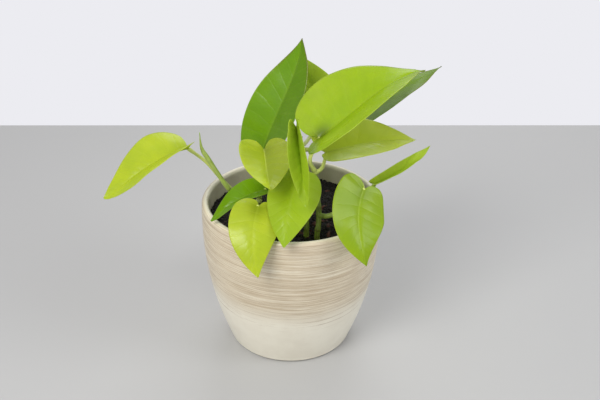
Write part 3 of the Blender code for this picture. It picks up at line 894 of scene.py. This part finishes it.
def stem_mesh(name):
    """A stem with swollen joints, each with a brown ring."""
    plant = look("plant")
    thickness = plant.stem * (0.85 if name == "stem_runner" else 1)
    route = smooth_route(stem_points(name), 14)
    joints = (0.30, 0.62) if name == "stem_runner" else (0.56, 0.80, 0.985)

    def near(share, width):
        return max(hump(share, joint, width) for joint in joints)

    def radius(share, turn):
        grain = 0.03 * noise.noise(Vector((share * 9, cos(turn) * 1.5, sin(turn) * 1.5)))
        taper = 1 - 0.2 * share
        return thickness * (taper + 0.16 * near(share, 0.035) + grain)

    def joint(share):
        return 0.9 * near(share, 0.014) + 0.35 * hump(share, 0.42, 0.05)

    return rod_mesh(name, route, radius, joint)


class PHILODENDRON_OT_stems(bpy.types.Operator):
    """Make the stems, the side shoot and the furled leaf"""

    bl_idname = "philodendron.stems"
    bl_label = "Stems"

    def execute(self, context):
        plant = look("plant")
        skin = stem_material("stem_skin", plant.skin, plant.joint, 0.6)
        for name in [*STEMS, "stem_runner"]:
            keep(link(name + "_skin", stem_mesh(name), skin), "stem_skin", name)
        furl = stem_material("furled_leaf", plant.skin, plant.green, 0.7)
        points = [beside("stem_far_left", over_rim(SPIKE[0]))] + [over_rim(p) for p in SPIKE]
        route = smooth_route(points, 16)

        def radius(share, turn):
            seam = 0.28 * hump(turn - pi, 2.2 * (share - 0.5), 0.35)
            swell = 1 + 0.12 * sin(pi * share)
            return plant.stalk * swell * (1 - ease(0.55, 1.0, share) * 0.82) * (1 - seam)

        mesh = rod_mesh("furled_leaf", route, radius, lambda share: 0.6 * ease(0.93, 1.0, share), 24)
        keep(link("furled_leaf", mesh, furl), "stem_skin", "new_leaf_spike")
        return {"FINISHED"}


def stalk_mesh(values):
    """A leaf's stalk: grooved along its upper side, wider where it clasps the stem."""
    plant = look("plant")
    stem, *points = values.stalk
    points = [over_rim(p) for p in points]
    end = over_rim(values.base) - Blade(values).under_notch() * plant.blade * 0.4
    route = smooth_route([beside(stem, points[0])] + points + [end], 18)

    def radius(share, turn):
        groove = 0.16 * hump(turn, pi, 0.6)
        clasp = 0.45 * hump(share, 0, 0.16)
        collar = 0.22 * hump(share, 0.965, 0.05)
        return plant.stalk * (1 + clasp + collar - 0.22 * share) * (1 - groove)

    def joint(share):
        return 0.45 * hump(share, 0.09, 0.03)

    return rod_mesh("stalk_" + values.name, route, radius, joint)


class PHILODENDRON_OT_stalks(bpy.types.Operator):
    """Make the leaf stalks"""

    bl_idname = "philodendron.stalks"
    bl_label = "Stalks"

    def execute(self, context):
        plant = look("plant")
        skin = stem_material("stalk_skin", plant.petiole, plant.joint, 0.18)
        for values in LEAVES:
            if values.stalk:
                piece = link("petiole_" + values.name, stalk_mesh(values), skin)
                keep(piece, "stalk_skin", "stalk_" + values.name)
        return {"FINISHED"}


# Leaves


class Blade:
    """A heart-shaped leaf blade: a flat outline bent round the midrib and along it."""

    def __init__(self, values):
        self.v = values
        chord = values.tip - values.base
        up = Vector((0, 0, 1))
        normal = (up - up.project(chord)).normalized()
        normal.rotate(Quaternion(chord.normalized(), radians(values.roll)))
        sideways = chord.cross(normal).normalized() * values.sway
        self.normal = normal
        self.midrib = (
            values.base,
            values.base + chord / 3 + normal * values.arch[0] + sideways,
            values.base + chord * (2 / 3) + normal * values.arch[1] + sideways,
            values.tip,
        )
        pieces = 32
        line = [bezier(i / pieces, *self.midrib) for i in range(pieces + 1)]
        self.length = sum((b - a).length for a, b in zip(line, line[1:]))

    def under_notch(self):
        """The blade's upward direction at its notch."""
        tangent = bezier_slope(0, *self.midrib).normalized()
        side = tangent.cross(self.normal).normalized()
        return side.cross(tangent)

    def margin(self, v):
        """Half of the flat outline: from the notch, round the lobe, to the tip."""
        half, lobe, length = self.v.width / 2, self.v.lobe, self.length
        widest = self.v.widest * length
        back = (0.48 * half, -lobe)
        side = (half, widest)
        if v < LOBE_AT:
            handles = (0.08 * half, -0.5 * lobe), (0.14 * half, -lobe)
            return bezier(v / LOBE_AT, (0, 0), *handles, back)
        if v < WIDEST_AT:
            handles = (0.80 * half, -lobe), (half, widest * 0.2 - lobe * 0.3)
            return bezier((v - LOBE_AT) / (WIDEST_AT - LOBE_AT), back, *handles, side)
        handles = (half, widest + 0.34 * length), (0.26 * half, 0.86 * length)
        return bezier((v - WIDEST_AT) / (1 - WIDEST_AT), side, *handles, (0, length))

    def at(self, u, v, edge):
        """The blade's point, its upward direction and its flat place at u across and v along."""
        root = v**3 * self.length
        across = abs(u) * edge[0]
        along = root + abs(u) * (edge[1] - root)
        t = max(along / self.length, 0)
        place = bezier(t, *self.midrib)
        tangent = bezier_slope(t, *self.midrib).normalized()
        place += tangent * min(along, 0)
        side = tangent.cross(self.normal).normalized()
        normal = side.cross(tangent)
        turn = Quaternion(tangent, radians(self.v.twist * t))
        side.rotate(turn)
        normal.rotate(turn)
        fold = radians(self.v.fold) * (1 - 0.4 * t) * min(edge[0] / FLAT_UNDER, 1)
        rate = radians(self.v.cup) / (self.v.width / 2)
        end = fold + rate * across
        if abs(rate) > 1e-6:
            out = (sin(end) - sin(fold)) / rate
            rise = (cos(fold) - cos(end)) / rate
        else:
            out = across * cos(fold)
            rise = across * sin(fold)
        rise += self.v.wave * u * u * sin(2 * pi * self.v.waves * v + (u > 0) * 1.3)
        hand = min(max(u / 0.08, -1), 1)
        facing = (normal * cos(end) - side * (hand * sin(end))).normalized()
        return place + side * (out if u > 0 else -out) + normal * rise, facing, (across, along)


def blade_mesh(values):
    """One leaf blade: veined and quilted above, ribbed below, thin at its edge."""
    plant = look("plant")
    blade = Blade(values)
    columns, rows = plant.columns, plant.rows
    length, half = blade.length, values.width / 2
    seed = Vector((values.tip.x * 900, values.tip.y * 700, 3))
    upper, lower, sheet, wash, veins = [], [], [], [], []
    for j in range(rows + 1):
        v = NOTCH_AT + (TIP_AT - NOTCH_AT) * j / rows
        edge = blade.margin(v)
        for u in ((0,) if j in (0, rows) else [2 * i / columns - 1 for i in range(columns + 1)]):
            place, facing, (across, along) = blade.at(u, v, edge)
            line = (along + VEIN_LEAN * across) / (length + VEIN_CURVE * across)
            ribs = abs(sin(pi * values.veins * line))
            open_field = ease(0, 0.22, across / half) * (1 - abs(u) ** 6)
            gutter = hump(across, 0, GUTTER[1]) * (1 - 0.75 * v)
            relief = plant.quilt * values.quilt * (ribs - 0.55) * open_field - GUTTER[0] * gutter
            soft = noise.noise(place * 55 + seed) * SOFT_WAVE * ease(0, 0.5, abs(u))
            thick = plant.blade + (plant.margin - plant.blade) * ease(0.3, 1.0, abs(u))
            thick *= 1 - 0.5 * ease(0.9, 1.0, v)
            keel = KEEL[0] * hump(across, 0, KEEL[1]) * (1 - v)
            middle = over_rim(place) + facing * soft
            upper.append(middle + facing * (thick / 2 + relief))
            lower.append(middle - facing * (thick / 2 - relief * 0.7 + keel))
            # Painted shade: the blade is darkened round its notch, where it dips towards the stalk
            notch_shade = hump((across**2 + (along - NOTCH_SHADE_REACH[1]) ** 2) ** 0.5, 0, NOTCH_SHADE_REACH[0])
            # Painted shade: left and right darken one half of the blade, as the fold turns it from the
            # light; on front_right they also deepen its own green
            shaded = values.right if u > 0 else values.left
            dark = min(values.notch * notch_shade + shaded * ease(0.0, 0.03, abs(u)), 1)
            # Partly painted light: pale makes the base half paler towards the edges, partly the leaf's
            # own tone and partly light on leaves in shade; light paints light over the whole blade of a
            # leaf the lamps leave dark
            rays = 0.5 + 0.5 * noise.noise(Vector((line * 34, across * 40, values.tip.x * 50)))
            bright = values.pale * rays * ease(0.05, 0.6, abs(u)) * (1 - ease(0.35, 0.9, v))
            dry_edge = 0.7 * ease(0.92, 1.0, abs(u)) * ease(0.6, 0.9, v)
            dry = values.scorch * max(ease(0.965, 1.0, v), dry_edge)
            sheet.append((u, v, 0))
            wash.append((dark, min(bright + values.light, 1), dry))
            veins.append((along / length, across / length, line))
    return closed_sheet("blade_" + values.name, upper, lower, columns, rows, sheet, wash, veins)


def closed_sheet(name, upper, lower, columns, rows, sheet, wash, veins):
    """A closed mesh from an upper and a lower sheet, which narrow to one point at both ends."""
    count = len(upper)

    def number(i, j):
        if j == 0:
            return 0
        if j == rows:
            return count - 1
        return 1 + (j - 1) * (columns + 1) + i

    faces = []
    for j in range(rows):
        for i in range(columns):
            corners = [number(i, j), number(i + 1, j), number(i + 1, j + 1), number(i, j + 1)]
            ring = list(dict.fromkeys(corners))
            faces.append(ring)
            faces.append([count + k for k in reversed(ring)])
        for i, flip in ((0, True), (columns, False)):
            a, b = number(i, j), number(i, j + 1)
            wall = [a, b, count + b, count + a]
            faces.append(wall if flip else wall[::-1])
    sheet = sheet + [(u, v, 1) for u, v, _ in sheet]
    return closed_mesh(name, upper + lower, faces, sheet=sheet, wash=wash + wash, veins=veins + veins)


class PHILODENDRON_OT_leaves(bpy.types.Operator):
    """Make the leaf blades"""

    bl_idname = "philodendron.leaves"
    bl_label = "Leaves"

    def execute(self, context):
        plant = look("plant")
        finishes = {}
        for values in LEAVES:
            key = (values.finish, values.veins)
            if key not in finishes:
                colour = getattr(plant, values.finish.removeprefix("leaf_"))
                pale = tuple(0.62 * c + 0.38 * p for c, p in zip(colour, tone(226, 232, 120)))
                shade = tuple(c * s for c, s in zip(colour, (0.72, 0.82, 0.7)))
                name = f"{values.finish}_{values.veins}_veins"
                finishes[key] = leaf_material(name, colour, pale, shade, float(values.veins))
            piece = link("leaf_" + values.name, blade_mesh(values), finishes[key])
            keep(piece, values.finish, "blade_" + values.name)
        return {"FINISHED"}


# Stage


def area_light(name, place, aim, size, power, colour):
    """A soft square light that looks at a point."""
    data = bpy.data.lights.new(name, "AREA")
    data.size = size
    data.energy = power
    data.color = colour
    made = add_object(name, data)
    made.location = place
    made.rotation_euler = (Vector(aim) - Vector(place)).to_track_quat("-Z", "Y").to_euler()


def add_camera():
    """The camera: in front of the pot, a little above it, looking down."""
    data = bpy.data.cameras.new("camera")
    data.lens = 50
    data.sensor_width = 36
    yaw, pitch, roll = (radians(turn) for turn in CAMERA_TURNS)
    ahead = Vector((sin(yaw) * cos(pitch), cos(yaw) * cos(pitch), -sin(pitch)))
    level = Vector((cos(yaw), -sin(yaw), 0))
    above = level.cross(ahead)
    right = level * cos(roll) + above * sin(roll)
    up = above * cos(roll) - level * sin(roll)
    turned = Matrix((right, up, -ahead)).transposed()
    made = add_object("camera", data)
    made.matrix_world = Matrix.Translation(CAMERA_PLACE) @ turned.to_4x4()
    bpy.context.scene.camera = made


def add_table():
    """The table top, turned a little, with softened edges."""
    bm = bmesh.new()
    bmesh.ops.create_cube(bm, size=1)
    for vertex in bm.verts:
        x, y, z = vertex.co
        x *= TABLE_WIDTH
        back = look("stage").far_edge - (0.5 - y) * TABLE_DEPTH
        vertex.co = (x, back + x * TABLE_SKEW, (z - 0.5) * TABLE_THICKNESS - 0.0001)
    bmesh.ops.bevel(bm, geom=bm.edges[:], offset=0.003, segments=3, affect="EDGES")
    mesh = bpy.data.meshes.new("table")
    bm.to_mesh(mesh)
    bm.free()
    table = link("table", mesh, table_material())
    mesh.set_sharp_from_angle(angle=radians(30))


def add_world():
    """The light all round, and the same colour at full strength where the camera sees it."""
    stage = look("stage")
    world = bpy.data.worlds.new("studio")
    world.use_nodes = True
    g = Graph(world.node_tree)
    light = world.node_tree.nodes["Background"]
    g.put(light.inputs["Color"], stage.sky)
    light.inputs["Strength"].default_value = stage.glow
    wall = g.node("ShaderNodeBackground", {"Color": stage.sky, "Strength": 1.0})
    seen = g.node("ShaderNodeLightPath").outputs["Is Camera Ray"]
    both = g.node("ShaderNodeMixShader", {0: seen, 1: light.outputs[0], 2: wall.outputs[0]})
    g.put(world.node_tree.nodes["World Output"].inputs["Surface"], both.outputs[0])
    bpy.context.scene.world = world


class PHILODENDRON_OT_stage(bpy.types.Operator):
    """Make the table, the lights and the camera"""

    bl_idname = "philodendron.stage"
    bl_label = "Stage"

    def execute(self, context):
        add_table()
        add_world()
        context.scene.view_settings.view_transform = "Standard"
        for name, place, aim, size, colour in LIGHTS:
            area_light(name, place, aim, size, getattr(look("stage"), name), colour)
        add_camera()
        return {"FINISHED"}


class PHILODENDRON_PT_plant(bpy.types.Panel):
    """The sizes, colours and steps of the potted plant"""

    bl_label = "Potted Philodendron"
    bl_idname = "PHILODENDRON_PT_plant"
    bl_space_type = "VIEW_3D"
    bl_region_type = "UI"
    bl_category = "Plant"

    def draw(self, context):
        for operator in OPERATORS:
            self.layout.operator(operator.bl_idname)
        for name, group in GROUPS.items():
            box = self.layout.box()
            for key in group.__annotations__:
                box.prop(look(name), key)


OPERATORS = (
    PHILODENDRON_OT_pot,
    PHILODENDRON_OT_soil,
    PHILODENDRON_OT_stems,
    PHILODENDRON_OT_stalks,
    PHILODENDRON_OT_leaves,
    PHILODENDRON_OT_stage,
)
GROUPS = {"pot": PotLook, "soil": SoilLook, "plant": PlantLook, "stage": StageLook}


def register():
    for made in (*GROUPS.values(), *OPERATORS, PHILODENDRON_PT_plant):
        bpy.utils.register_class(made)
    for name, group in GROUPS.items():
        setattr(bpy.types.Scene, "philodendron_" + name, PointerProperty(type=group))


def unregister():
    for name in GROUPS:
        delattr(bpy.types.Scene, "philodendron_" + name)
    for made in (PHILODENDRON_PT_plant, *reversed(OPERATORS), *reversed(GROUPS.values())):
        bpy.utils.unregister_class(made)


def main():
    register()
    bpy.ops.philodendron.stage()
    bpy.ops.philodendron.pot()
    bpy.ops.philodendron.soil()
    bpy.ops.philodendron.stems()
    bpy.ops.philodendron.stalks()
    bpy.ops.philodendron.leaves()


if __name__ == "__main__":
    main()
